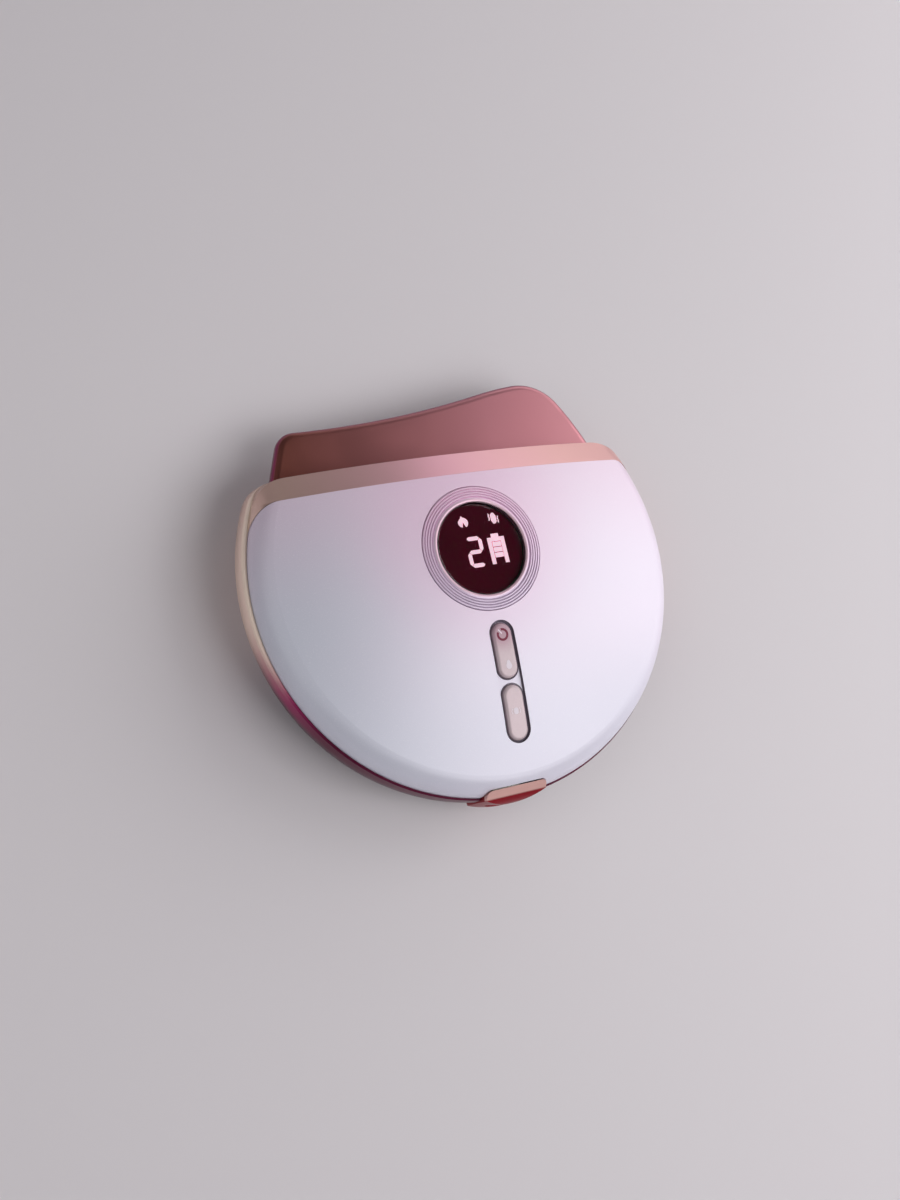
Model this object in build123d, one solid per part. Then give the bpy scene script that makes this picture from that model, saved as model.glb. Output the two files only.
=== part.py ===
"""Heated gua sha: a palm-sized massager with a heated metal plate, two buttons and a display.

Millimetres. The origin is the centre of the body's round outline on the rest plane.
+Y points to the scraper plate and +Z to the domed cover.
"""
import math
import os

from build123d import *

# Body outline, seen from above: a circle cut by a chord
body_radius = 46.3
body_chord = 22.8
body_corner = 5.5
body_wall = 2.0
parting_z = 14.0
belly_height = 10.6
belly_inset = 15.2
belly_front_inset = 9.0
foot_corner = 9.0
rim_tuck = 0.5
rim_shift = 0.4
rim_chamfer = 0.3

# Domed cover
rim_lip = 0.65
cover_shift = 0.6
cover_corner = 6.0
cover_wall = 2.0
cover_apex = 23.65
cover_shoulder = 5.0
cover_skirt = 0.8
seam = 0.08
tongue_depth = 2.2
tongue_wall = 1.0
tongue_gap = 0.12
hook_angles = (-150, -120, -60, -30)
hook_length = 5.0
hook_root = 0.4
hook_rise = 0.2
hook_reach = 0.45
hook_height = 0.9

# Slanted strip over the scraper plate
brow_run = 5.1
brow_drop = 3.2
brow_lower = 0.35
brow_shift = 1.5
brow_land = 0.1
brow_corner_top = 16.0
shelf_z = 16.0
shelf_wall = 1.6
shelf_lap = 2.4
shelf_half = 33.0

# Scraper plate and its slot
plate_top = 12.4
plate_thickness = 3.6
plate_round = 1.5
plate_stand_off = 0.25
neck_half = 33.5
neck_thickness = 3.0
neck_length = 9.2
neck_lap = 0.5
plate_left = -35.8
plate_right = 37.2
plate_left_lean = 2.65
plate_corner_run = 4.15
plate_corner_drop = 3.0
plate_reach = 10.25
plate_bend_x = 13.3
plate_bend_reach = 14.5
plate_hump_x = 21.8
plate_hump_reach = 15.7
plate_shoulder_x = 31.8
plate_shoulder_reach = 10.7
gasket_wall = 1.0
gasket_depth = 1.6
plate_screw_x = (-27.0, -12.0, 12.0, 27.0)
plate_screw_set_back = 5.8
clamp_half = 30.5
clamp_depth = 5.6
clamp_height = 1.4
clamp_corner = 1.5
heater_half = 8.6
heater_depth = 5.0
heater_thickness = 0.3
bead_length = 2.0
bead_depth = 1.2
bead_height = 1.0
bead_corner = 0.3

# Display
display_y = 2.2
bezel_radius = 12.6
bezel_proud = 0.1
bezel_edge = 0.15
bezel_flange = 0.75
bezel_barrel = 10.9
bezel_length = 3.2
seat_reach = 0.6
seat_depth = 1.6
seat_thickness = 2.0
window_radius = 9.4
window_thickness = 1.2
window_depth = 0.75
window_lap = 0.45
lip_width = 0.55
lip_slope = 0.12
groove_land = 0.35
groove_count = 4
groove_width = 0.3
groove_depth = 0.14
module_radius = 9.2
module_gap = 0.55
well_depth = 1.5
segment_thickness = 0.15

# Light shapes, placed from the display's centre
digit_place = (-0.8, -0.95)
digit_width = 3.7
digit_height = 6.8
digit_bar = 0.85
digit_gap = 0.15
cell_place = (3.2, -1.2)
cell_width = 3.6
cell_height = 5.6
cell_frame = 0.8
cell_cap = (1.6, 0.6)
cell_bars = 3
cell_bar = (1.7, 0.95)
cell_gap = 0.17
flame_place = (-3.2, 5.3)
flame_radius = 0.95
flame_tip = 1.55
flame_notch = 0.35
buzz_place = (3.2, 5.4)
buzz_block = (1.1, 1.8)
buzz_bar = 0.26
buzz_tall = (1.3, 0.8)
buzz_pitch = 0.45

# Buttons in their shared recess
slot_top = -12.4
slot_length = 24.0
slot_width = 5.4
slot_depth = 0.6
button_margin = 0.55
button_gap = 1.2
button_play = 0.12
button_proud = 0.15
button_round = 0.7
button_travel = 0.3
flange_reach = 0.45
flange_thickness = 0.6
flange_gap = 0.15
stem_radius = 1.5
stem_length = 0.8
stem_gap = 0.05

# Main circuit board and what stands on it
board_bottom = 12.1
board_thickness = 1.2
board_half = 20.0
board_back = 12.6
board_gap = 1.2
boss_radius = 2.2
boss_x = 16.5
boss_y = (8.5, -27.0)
screw_radius = 0.7
screw_play = 0.25
screw_head = 1.6
screw_head_height = 0.9
plate_screw_head_height = 0.6
screw_grip = 4.0
screw_well = 0.5
switch_side = 6.0
switch_corner = 0.5
plunger_edge = 0.2
plunger_radius = 1.7
plunger_fit = 0.05
plunger_rise = 0.8

# Parts on the board: centre x and y, length, depth and height
controller = (11.0, -18.5, 6.0, 6.0, 1.0)
charger = (-11.0, -34.0, 4.0, 4.0, 0.9)
driver = (-13.8, -14.0, 3.6, 4.0, 1.2)
coil_place = (12.0, -34.0)
coil_radius = 2.6
coil_height = 2.4

# Charging inlet
inlet_width = 8.94
inlet_height = 3.26
inlet_length = 7.35
inlet_shell = 0.3
inlet_back = 1.2
inlet_recess = 0.8
inlet_fit = 0.08
tongue_plate_width = 6.69
tongue_plate_height = 0.7
tongue_plate_length = 4.5
port_x = -1.5
port_half = 6.6
port_corner = 1.2
port_bow = 15.8
port_foot_cut = 1.4
port_gap = 0.25
port_reach = 1.0
port_set_in = 1.6
port_foot = 5.2
port_foot_chamfer = 2.4
port_nose = 1.2
port_crest_run = 1.55
port_bay = 4.0

# Wire sockets under the board
socket_y = (4.6, 8.1)
socket_height = 2.2
battery_socket_x = (-14.0, -9.0)
heater_socket_x = (-7.0, -2.6)

# Battery
battery_width = 34.0
battery_depth = 29.0
battery_height = 6.0
battery_centre_y = -13.5
battery_corner = 2.5
pad_height = 0.6
pouch_inset = 3.0
tray_wall = 1.2
tray_gap = 0.3
tray_height = 2.6
tray_end_half = 8.0
tray_side_half = 10.0
floor_bite = 0.5

# Vibration motor
motor_radius = 3.5
motor_length = 15.0
motor_start_x = 3.0
motor_y = 8.2
motor_lift = 0.4
cap_length = 1.4
cap_step = 0.3
sleeve_wall = 0.8
sleeve_length = 10.0
saddle_length = 8.0
shaft_radius = 0.5
shaft_fit = 0.04
shaft_reach = 5.6
weight_radius = 3.0
weight_length = 4.2
weight_gap = 0.8
weight_hub = 1.4
motor_bed_gap = 0.05

# Wires
wire_radius = 0.5
wire_pitch = 1.6
battery_wire_out = 1.8
battery_wire_bend = 0.8
heater_wire_out = 1.9
heater_wire_rise = 2.0
heater_wire_bend = 0.9
motor_wire_out = 1.8
motor_wire_rise = 0.8
motor_wire_bend = 1.2

# Derived sizes and levels
cover_radius = body_radius - rim_tuck - rim_lip
cover_centre_y = -cover_shift
cover_chord = body_chord - brow_run
board_top = board_bottom + board_thickness
board_radius = body_radius - body_wall - tongue_gap - tongue_wall - board_gap
port_face = -body_radius - port_reach
port_back = cover_centre_y - cover_radius + port_set_in
cover_height = cover_apex - parting_z
cover_flat = cover_radius - cover_shoulder
crown_radius = (cover_flat**2 + cover_height**2 - cover_shoulder**2) / (2 * (cover_height - cover_shoulder))
plate_bottom = plate_top - plate_thickness
neck_middle = plate_top - plate_thickness / 2
neck_bottom = neck_middle - neck_thickness / 2
neck_top = neck_middle + neck_thickness / 2
plate_root = body_chord + plate_stand_off
plate_screw_y = body_chord - plate_screw_set_back
inlet_z = board_bottom - inlet_height / 2
battery_floor = body_wall + pad_height
motor_z = body_wall + sleeve_wall + motor_radius + motor_lift
button_length = (slot_length - 2 * button_margin - button_gap) / 2
button_width = slot_width - 2 * button_margin
upper_button_y = slot_top - button_margin - button_length / 2
lower_button_y = upper_button_y - button_length - button_gap
button_under = cover_wall + flange_gap
lower_crown = cover_apex - crown_radius + math.sqrt(crown_radius**2 - (lower_button_y - cover_centre_y) ** 2)
plunger_top = lower_crown - button_under - flange_thickness - stem_length - stem_gap
switch_height = plunger_top - plunger_rise - board_top
plunger_seat = switch_height / 3


def tangent_points(radius, centre_y, chord_y, corner):
    """Corner centre, its point on the chord and its point on the circle, on the +X side."""
    out = math.sqrt((radius - corner) ** 2 - (chord_y - corner - centre_y) ** 2)
    centre = Vector(out, chord_y - corner)
    circle_centre = Vector(0, centre_y)
    on_circle = circle_centre + (centre - circle_centre) * (radius / (radius - corner))
    return centre, Vector(centre.X, chord_y), on_circle


def d_face(radius, centre_y, chord_y, corner):
    """A circle cut by a chord, with rounded corners."""
    centre, on_chord, on_circle = tangent_points(radius, centre_y, chord_y, corner)
    middle = centre + ((on_chord - centre) + (on_circle - centre)).normalized() * corner

    def mirror_x(point):
        return Vector(-point.X, point.Y)

    bottom = Vector(0, centre_y - radius)
    side = Vector(radius, centre_y)
    if on_circle.Y < centre_y:
        side = Vector(0, centre_y) + (on_circle + bottom - Vector(0, 2 * centre_y)).normalized() * radius
    edges = [
        Line(mirror_x(on_chord), on_chord),
        ThreePointArc(on_chord, middle, on_circle),
        ThreePointArc(on_circle, side, bottom),
        ThreePointArc(bottom, mirror_x(side), mirror_x(on_circle)),
        ThreePointArc(mirror_x(on_circle), mirror_x(middle), mirror_x(on_chord)),
    ]
    return make_face(edges)


def body_plan(inset):
    return d_face(body_radius - inset, 0, body_chord - inset, max(body_corner - inset, 1.5))


def cover_plan(inset=0.0):
    return d_face(cover_radius - inset, cover_centre_y, cover_chord - inset, max(cover_corner - inset, 1.5))


def prism(face, low, high):
    return extrude(Pos(0, 0, low) * face, amount=high - low)


def block(x_low, x_high, y_low, y_high, z_low, z_high):
    centre = Pos((x_low + x_high) / 2, (y_low + y_high) / 2, (z_low + z_high) / 2)
    return centre * Box(x_high - x_low, y_high - y_low, z_high - z_low)


def rod(x, y, radius, low, high):
    return Pos(x, y, (low + high) / 2) * Cylinder(radius, high - low)


def cover_dome(inset, base=0.0):
    """A shallow crown arc with a tight shoulder arc, turned about the cover's own axis."""
    crown = crown_radius - inset
    shoulder = cover_shoulder - inset
    top = (0, cover_apex - inset)
    crown_centre = Vector(0, cover_apex - crown_radius)
    shoulder_centre = Vector(cover_flat, parting_z)
    along = (shoulder_centre - crown_centre).normalized()
    tangent = shoulder_centre + along * shoulder
    half_crown = crown_centre + (along + Vector(0, 1)).normalized() * crown
    half_shoulder = shoulder_centre + (along + Vector(1, 0)).normalized() * shoulder
    rim = Vector(cover_flat + shoulder, parting_z)
    outline = [
        Line((0, base), top),
        ThreePointArc(top, half_crown, tangent),
        ThreePointArc(tangent, half_shoulder, rim),
        Line(rim, (rim.X, base)),
        Line((rim.X, base), (0, base)),
    ]
    profile = Plane.XZ * make_face(outline)
    return Pos(0, cover_centre_y, 0) * revolve(profile, Axis.Z)


def dome_height(radius):
    """Height of the cover's shoulder at a distance from the cover's axis."""
    return parting_z + math.sqrt(cover_shoulder**2 - (radius - cover_flat) ** 2)


def dome_slope(radius):
    return (radius - cover_flat) / (dome_height(radius) - parting_z)


def belly_levels(inset):
    """Plan outlines that grow from the flat foot along a quarter ellipse."""
    levels = []
    for degrees in (0, 14, 30, 48, 68, 90):
        angle = math.radians(degrees)
        share = 1 - math.sin(angle)
        z = inset + (belly_height - inset) * (1 - math.cos(angle))
        side = inset + (belly_inset - inset) * share
        front = inset + (belly_front_inset - inset) * share
        corner = body_corner - inset + (foot_corner - body_corner + inset) * share
        levels.append(Pos(0, 0, z) * d_face(body_radius - side, 0, body_chord - front, corner))
    return levels


def body_outside():
    """The underside, its side drawn in towards the rim, and the rim's bevel."""
    levels = belly_levels(0)
    rise = parting_z - rim_chamfer - belly_height
    for share in (0.5, 1):
        tuck = share**2
        plan = d_face(body_radius - rim_tuck * tuck, -rim_shift * tuck, body_chord, body_corner)
        levels.append(Pos(0, 0, belly_height + rise * share) * plan)
    rim_plan = d_face(body_radius - rim_tuck - rim_chamfer, -rim_shift, body_chord, body_corner)
    return loft(levels) + loft([levels[-1], Pos(0, 0, parting_z) * rim_plan], ruled=True)


def body_inside(wall, top):
    return loft(belly_levels(wall)) + prism(body_plan(wall), belly_height, top)


def brow(inset, column):
    """A dome like the cover's, a little forward, carried down from the cover's chord to the front wall."""
    base = parting_z - 1
    whole = Pos(0, brow_shift, 0) * cover_dome(brow_lower + inset, base)
    cut = Plane(origin=(0, cover_chord, 0), x_dir=(1, 0, 0), z_dir=(0, -1, 0))
    profile = section(whole, section_by=cut)
    slope = Vector(0, brow_run, -brow_drop)
    forward = extrude(profile, amount=slope.length + brow_run, dir=slope.normalized())
    corner_end = tangent_points(cover_radius, cover_centre_y, cover_chord, cover_corner)[2].Y
    behind = whole & block(-body_radius, body_radius, corner_end, cover_chord, base, cover_apex)
    return (forward + behind) & column


def brow_outside():
    reach = body_radius - rim_tuck - rim_chamfer - brow_land
    low = d_face(reach, -rim_shift, body_chord, body_corner)
    high = d_face(reach, -rim_shift, body_chord, brow_corner_top)
    return brow(0, loft([Pos(0, 0, parting_z) * low, Pos(0, 0, cover_apex) * high], ruled=True))


def port_well(margin=0.0):
    """The tab's gap from above, rounded at its back corners and open to the outside."""
    back = port_back + margin
    front = port_face - 1
    well = Pos(port_x, (back + front) / 2) * Rectangle(2 * (port_half + margin), back - front)
    return fillet(well.vertices().sort_by(Axis.Y)[-2:], port_corner + margin)


def port_bar(margin=0.0):
    """A bar along Y with the tab's outline from the front: upright sides and cut lower corners."""
    half = port_half + margin
    side = [(half - port_foot_cut, port_foot), (half, port_foot + port_foot_cut), (half, cover_apex)]
    outline = side + [(-x, z) for x, z in reversed(side)]
    face = Plane.XZ * make_face(Polyline(*outline, close=True))
    return Pos(port_x, 0, 0) * extrude(face, amount=2 * body_radius)


def inlet_face(margin=0.0):
    """The inlet's flat-sided oval, seen along Y."""
    return Plane.XZ * SlotOverall(inlet_width + 2 * margin, inlet_height + 2 * margin)


def inlet_bar(margin, y_front, y_back):
    return Pos(port_x, y_back, inlet_z) * extrude(inlet_face(margin), amount=y_back - y_front)


def screw_tips():
    return [(x, y) for x in (-boss_x, boss_x) for y in boss_y]


def board_hole(x, y):
    return rod(x, y, screw_radius + screw_play, 0, cover_apex)


def pill(y, low, high, grow=0.0):
    face = Rot(0, 0, 90) * SlotOverall(button_length + 2 * grow, button_width + 2 * grow)
    return Pos(0, y, 0) * prism(face, low, high)


def display_place():
    """The dome's own tangent plane under the display's centre."""
    crown_centre = Vector(0, cover_centre_y, cover_apex - crown_radius)
    rise = math.sqrt(crown_radius**2 - (display_y - cover_centre_y) ** 2)
    point = crown_centre + Vector(0, display_y - cover_centre_y, rise)
    return Plane(origin=point, x_dir=(1, 0, 0), z_dir=point - crown_centre)


def crown_sag(radius):
    return crown_radius - math.sqrt(crown_radius**2 - radius**2)


def hook(angle, grow=0.0):
    """One snap hook on the cover's tongue, with a sloped lead-in below."""
    outer = body_radius - body_wall - tongue_gap
    low = parting_z - tongue_depth + hook_rise
    points = [
        (outer - hook_root, low - grow),
        (outer, low - grow),
        (outer + hook_reach + grow, low + hook_height * 0.6 - grow),
        (outer + hook_reach + grow, low + hook_height + grow),
        (outer - hook_root, low + hook_height + grow),
    ]
    half = hook_length / 2 + grow
    wedge = Plane.XZ * make_face(Polyline(*points, close=True))
    wedge = extrude(wedge, amount=half, both=True)
    return Rot(0, 0, angle) * wedge


def make_top_cover():
    shell_base = parting_z - cover_skirt
    outer = cover_dome(0, shell_base) & prism(cover_plan(), shell_base, cover_apex + 1)
    inner = cover_dome(cover_wall, shell_base - 1)
    inner &= prism(cover_plan(cover_wall), shell_base - 1, cover_apex)
    shell = outer - inner
    shelf_reach = shelf_half + seam
    front_cut = block(-shelf_reach, shelf_reach, cover_chord - shelf_lap - seam, body_chord, 0, shelf_z)
    tongue_outer = body_wall + tongue_gap
    tongue = prism(body_plan(tongue_outer), parting_z - tongue_depth, parting_z + 1)
    tongue -= prism(body_plan(tongue_outer + tongue_wall), parting_z - tongue_depth - 1, parting_z + 2)
    tongue -= block(-body_radius, body_radius, cover_chord - cover_corner, body_chord, 0, shelf_z)
    shell = shell - front_cut + tongue
    for angle in hook_angles:
        shell += hook(angle)

    place = display_place()
    seat_middle = Pos(0, 0, -seat_depth - seat_thickness / 2)
    shell += place * (seat_middle * Cylinder(bezel_radius + seat_reach, seat_thickness))
    flange_low = Pos(0, 0, cover_apex / 2 - bezel_flange - crown_sag(bezel_radius))
    shell -= place * (flange_low * Cylinder(bezel_radius + seam, cover_apex))
    shell -= place * Cylinder(bezel_barrel + seam, cover_apex)

    recess_floor = Pos(0, slot_top - slot_length / 2, 0) * prism(
        Rot(0, 0, 90) * SlotOverall(slot_length, slot_width), parting_z, cover_apex + 1
    )
    shell -= recess_floor - cover_dome(slot_depth)
    for y in (upper_button_y, lower_button_y):
        shell -= pill(y, parting_z, cover_apex + 1, button_play)

    for x, y in screw_tips():
        post = rod(x, y, boss_radius, board_top, cover_apex) & cover_dome(cover_wall / 2, 0)
        shell += post
        shell -= rod(x, y, screw_radius, board_top - 1, board_top + screw_grip + screw_well)

    shell -= prism(port_well(port_gap), parting_z - tongue_depth - 1, cover_apex)
    bay_half = port_half + port_gap
    bay_back = port_back + port_bay
    bay = block(-bay_half, bay_half, -body_radius, bay_back, parting_z - tongue_depth - 1, parting_z)
    shell -= Pos(port_x, 0, 0) * bay
    return shell


def battery_ribs():
    """Four short ribs on the floor, one at each side of the battery."""
    low, high = body_wall - floor_bite, battery_floor + tray_height
    reach_x = battery_width / 2 + tray_gap
    reach_y = battery_depth / 2 + tray_gap
    side = Pos(reach_x + tray_wall / 2, 0) * Rectangle(tray_wall, 2 * tray_side_half)
    end = Pos(0, reach_y + tray_wall / 2) * Rectangle(2 * tray_end_half, tray_wall)
    plans = [side, mirror(side, about=Plane.YZ), end, mirror(end, about=Plane.XZ)]
    return [prism(Pos(0, battery_centre_y) * plan, low, high) for plan in plans]


def motor_saddle():
    """A block with a round bed for the motor's sleeve."""
    x = motor_start_x + motor_length / 2
    outer = motor_radius + sleeve_wall
    reach_y = outer + tray_wall
    low = body_wall - floor_bite
    half = saddle_length / 2
    saddle = block(x - half, x + half, motor_y - reach_y, motor_y + reach_y, low, motor_z)
    bed = Rot(0, 90, 0) * Cylinder(outer + motor_bed_gap, 2 * motor_length)
    return saddle - Pos(x, motor_y, motor_z) * bed


def make_lower_housing():
    body = body_outside() - body_inside(body_wall, parting_z + 1)
    rebate = prism(cover_plan(-seam), parting_z - cover_skirt, 2 * cover_apex)
    hollow = brow(body_wall, prism(body_plan(body_wall), shelf_z, cover_apex))
    bridge = brow_outside() - hollow - prism(body_plan(body_wall), parting_z - 1, shelf_z - shelf_wall)
    bridge -= prism(cover_plan(-seam), parting_z, 2 * cover_apex)
    lap = prism(body_plan(body_wall), shelf_z - shelf_wall, shelf_z)
    lap &= block(-shelf_half, shelf_half, cover_chord - shelf_lap, body_chord, 0, shelf_z)
    housing = body - rebate + bridge + lap

    housing -= block(
        -neck_half - gasket_wall,
        neck_half + gasket_wall,
        body_chord - body_wall - 1,
        body_chord + 1,
        neck_bottom - gasket_wall,
        neck_top + gasket_wall,
    )

    inner = body_inside(body_wall - floor_bite, parting_z)
    for x in plate_screw_x:
        housing += rod(x, plate_screw_y, boss_radius, 0, neck_bottom) & inner
        well = neck_bottom - screw_grip - screw_well
        housing -= rod(x, plate_screw_y, screw_radius, well, neck_bottom + 1)

    for rib in battery_ribs():
        housing += rib
    housing += motor_saddle()

    for angle in hook_angles:
        housing -= hook(angle, tongue_gap)

    housing -= prism(port_well(port_gap), port_foot, cover_apex) & port_bar(port_gap)
    return housing - inlet_bar(inlet_fit, port_face, port_back + body_wall)


def make_port_trim():
    """The tab: the cover's own curve above, a rounded nose, a bowed face and a bevelled foot."""
    radius = cover_centre_y - port_back
    crest = dome_height(radius)
    nose_low = parting_z - port_nose
    crest_end = (port_back - port_crest_run, crest - port_crest_run * dome_slope(radius))
    nose = [
        Line((port_back, port_foot), (port_face + port_foot_chamfer, port_foot)),
        Line((port_face + port_foot_chamfer, port_foot), (port_face, port_foot + port_foot_chamfer)),
        Line((port_face, port_foot + port_foot_chamfer), (port_face, nose_low)),
        TangentArc((port_face, nose_low), crest_end, tangent=(0, 1)),
        Line(crest_end, (port_back, crest)),
        Line((port_back, crest), (port_back, port_foot)),
    ]
    side = Plane.YZ * make_face(nose)
    bowed = port_well() & Pos(port_x, port_face + port_bow) * Circle(port_bow)
    tab = extrude(side, amount=body_radius, both=True) & prism(bowed, port_foot, cover_apex) & port_bar()
    tab -= inlet_bar(inlet_fit, port_face - 1, port_back + 1)
    return tab


def make_display_bezel():
    def top(radius):
        return bezel_proud - crown_sag(radius)

    seat = -window_depth
    bottom = -bezel_length
    bore = window_radius + window_lap + seam
    lip = window_radius + lip_width
    outline = [
        (window_radius, seat),
        (window_radius + lip_slope, top(lip) - lip_slope),
        (window_radius + 2 * lip_slope, top(lip)),
        (lip, top(lip)),
    ]
    first = lip + groove_land
    pitch = (bezel_radius - groove_land - first) / groove_count
    for count in range(groove_count):
        start = first + pitch * count + (pitch - groove_width) / 2
        outline.append((start, top(start)))
        outline.append((start + groove_width / 2, top(start) - groove_depth))
        outline.append((start + groove_width, top(start + groove_width)))
    flange_bottom = -bezel_flange - crown_sag(bezel_radius)
    outline += [
        (bezel_radius - bezel_edge, top(bezel_radius)),
        (bezel_radius, top(bezel_radius) - bezel_edge),
        (bezel_radius, flange_bottom),
        (bezel_barrel, flange_bottom),
        (bezel_barrel, bottom),
        (bore, bottom),
        (bore, seat),
    ]
    profile = Plane.XZ * make_face(Polyline(*outline, close=True))
    return display_place() * revolve(profile, Axis.Z)


def make_display_window():
    middle = -window_depth - window_thickness / 2
    return display_place() * (Pos(0, 0, middle) * Cylinder(window_radius + window_lap, window_thickness))


def digit_bar_face(length):
    half, point = length / 2, digit_bar / 2
    return make_face(
        Polyline(
            (-half, 0),
            (point - half, point),
            (half - point, point),
            (half, 0),
            (half - point, -point),
            (point - half, -point),
            close=True,
        )
    )


def digit_shapes():
    """Seven bars of a digit, each a flat hexagon, centred on the digit."""
    across = digit_width - digit_bar
    up = (digit_height - digit_bar) / 2
    flat = digit_bar_face(across - digit_gap)
    tall = Rot(0, 0, 90) * digit_bar_face(up - digit_gap)
    shapes = [Pos(0, up * row) * flat for row in (-1, 0, 1)]
    return shapes + [Pos(x, y) * tall for x in (-across / 2, across / 2) for y in (-up / 2, up / 2)]


def cell_shapes():
    """Battery symbol: a frame open below, a cap, and charge bars hung from the top."""
    frame = Rectangle(cell_width, cell_height)
    frame -= Pos(0, -cell_frame) * Rectangle(cell_width - 2 * cell_frame, cell_height)
    cap = Pos(0, (cell_height + cell_cap[1]) / 2) * Rectangle(*cell_cap)
    bar = Rectangle(*cell_bar)
    pitch = cell_bar[1] + cell_gap
    first = cell_height / 2 - cell_frame + cell_bar[1] / 2
    return [frame + cap] + [Pos(0, first - pitch * row) * bar for row in range(1, cell_bars + 1)]


def flame_shape():
    """A drop with a pointed top and a notch below."""
    side = flame_radius * math.sqrt(3) / 2
    level = flame_radius / 2
    tip = make_face(Polyline((-side, level), (0, flame_tip), (side, level), close=True))
    low = -flame_radius - flame_notch
    notch = make_face(Polyline((-flame_notch, low), (0, 0), (2 * flame_notch, low), close=True))
    return Circle(flame_radius) + tip - notch


def buzz_shapes():
    """Vibration symbol: a block between two pairs of short bars."""
    wide, tall = buzz_block
    shapes = [chamfer(Rectangle(wide, tall).vertices(), buzz_bar)]
    for step, height in enumerate(buzz_tall, 1):
        x = wide / 2 + buzz_pitch * step - buzz_bar / 2
        shapes += [Pos(side * x, 0) * Rectangle(buzz_bar, height) for side in (-1, 1)]
    return shapes


def symbol_faces():
    faces = [Pos(*digit_place) * shape for shape in digit_shapes()]
    faces += [Pos(*cell_place) * shape for shape in cell_shapes()]
    faces.append(Pos(*flame_place) * flame_shape())
    faces += [Pos(*buzz_place) * shape for shape in buzz_shapes()]
    return faces


def module_top():
    return display_place().origin.Z - window_depth - window_thickness - module_gap


def make_display_segments():
    """Light shapes that fill the display block's wells."""
    top = module_top()
    pieces = [prism(Pos(0, display_y) * face, top - segment_thickness, top) for face in symbol_faces()]
    return Compound(children=[piece.solid() for piece in pieces])


def make_display_module():
    top = module_top()
    body = rod(0, display_y, module_radius, board_top, top)
    for face in symbol_faces():
        body -= prism(Pos(0, display_y) * face, top - well_depth, top + 1)
    return body


def make_button(y):
    """Pill cap that follows the dome, its retaining flange and the stem to its switch."""
    cap = pill(y, parting_z, cover_apex + 2) & cover_dome(-button_proud)
    crown = cap.faces().sort_by(Axis.Z)[-1]
    cap = fillet(crown.edges(), button_round)
    cap -= cover_dome(button_under + flange_thickness)
    flange = pill(y, parting_z, cover_apex, flange_reach) & cover_dome(button_under)
    flange -= cover_dome(button_under + flange_thickness)
    stem = rod(0, y, stem_radius, plunger_top + stem_gap, cover_apex) & cover_dome(button_under)
    return cap + flange + stem


def make_switch(y):
    body = Pos(0, y, board_top + switch_height / 2) * Box(switch_side, switch_side, switch_height)
    body = chamfer(body.edges().filter_by(Axis.Z), switch_corner)
    top = board_top + switch_height
    return body - rod(0, y, plunger_radius + plunger_fit, top - plunger_seat, top + 1)


def make_plunger(y):
    low = board_top + switch_height - plunger_seat + button_travel + plunger_fit
    tip = rod(0, y, plunger_radius, low, plunger_top)
    return chamfer(tip.edges().sort_by(Axis.Z)[-1], plunger_edge)


def make_main_pcb():
    strip = Pos(0, board_back - board_radius) * Rectangle(2 * board_half, 2 * board_radius)
    outline = Circle(board_radius) & strip
    board = prism(outline, board_bottom, board_top)
    for x, y in screw_tips():
        board -= board_hole(x, y)
    return board


def chip(x, y, length, depth, height):
    return Pos(x, y, board_top + height / 2) * Box(length, depth, height)


def make_board_components():
    """Controller, charger, driver and coil above the board, and two wire sockets below it."""
    pieces = [chip(*controller), chip(*charger), chip(*driver)]
    pieces.append(rod(*coil_place, coil_radius, board_top, board_top + coil_height))
    for x_range in (battery_socket_x, heater_socket_x):
        pieces.append(block(*x_range, *socket_y, board_bottom - socket_height, board_bottom))
    return Compound(children=[piece.solid() for piece in pieces])


def screw(x, y, seat, head_height, tip):
    """Head on its seat, and a plain shank from the seat to the tip, up or down."""
    up = 1 if tip > seat else -1
    head = rod(x, y, screw_head, *sorted((seat, seat - up * head_height)))
    shank = rod(x, y, screw_radius, *sorted((seat, tip)))
    return (head + shank).solid()


def make_pcb_screws():
    tip = board_top + screw_grip
    return Compound(children=[screw(x, y, board_bottom, screw_head_height, tip) for x, y in screw_tips()])


def make_plate_screws():
    seat = neck_top + clamp_height
    tip = neck_bottom - screw_grip
    screws = [screw(x, plate_screw_y, seat, plate_screw_head_height, tip) for x in plate_screw_x]
    return Compound(children=screws)


def plate_outline():
    """Left corner, gently hollow working edge, hump and falling flank."""
    left_low = Vector(plate_left, plate_root)
    corner_end = Vector(plate_left + plate_left_lean + plate_corner_run, body_chord + plate_reach)
    corner_start = corner_end - Vector(plate_corner_run, plate_corner_drop)
    bend = Vector(plate_bend_x, body_chord + plate_bend_reach)
    hump = Vector(plate_hump_x, body_chord + plate_hump_reach)
    shoulder = Vector(plate_shoulder_x, body_chord + plate_shoulder_reach)
    right_low = Vector(plate_right, plate_root)
    corner = TangentArc(corner_end, corner_start, tangent=(-1, 0))
    hollow = TangentArc(corner_end, bend, tangent=(1, 0))
    rise = TangentArc(bend, hump, tangent=hollow % 1)
    fall = TangentArc(hump, shoulder, tangent=rise % 1)
    flank = TangentArc(shoulder, right_low, tangent=fall % 1)
    return [Line(right_low, left_low), Line(left_low, corner_start), corner, hollow, rise, fall, flank]


def make_scraper_plate():
    blade = prism(make_face(plate_outline()), plate_bottom, plate_top)
    edges = [edge for edge in blade.edges() if edge.center().Y > plate_root + plate_stand_off]
    rims = [edge for edge in edges if abs(edge.center().Z - neck_middle) > plate_thickness / 4]
    blade = fillet(rims, plate_round)
    neck_back = body_chord - neck_length
    neck = block(-neck_half, neck_half, neck_back, plate_root + neck_lap, neck_bottom, neck_top)
    plate = blade + neck
    for x in plate_screw_x:
        plate -= board_hole(x, plate_screw_y)
    return plate


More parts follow.
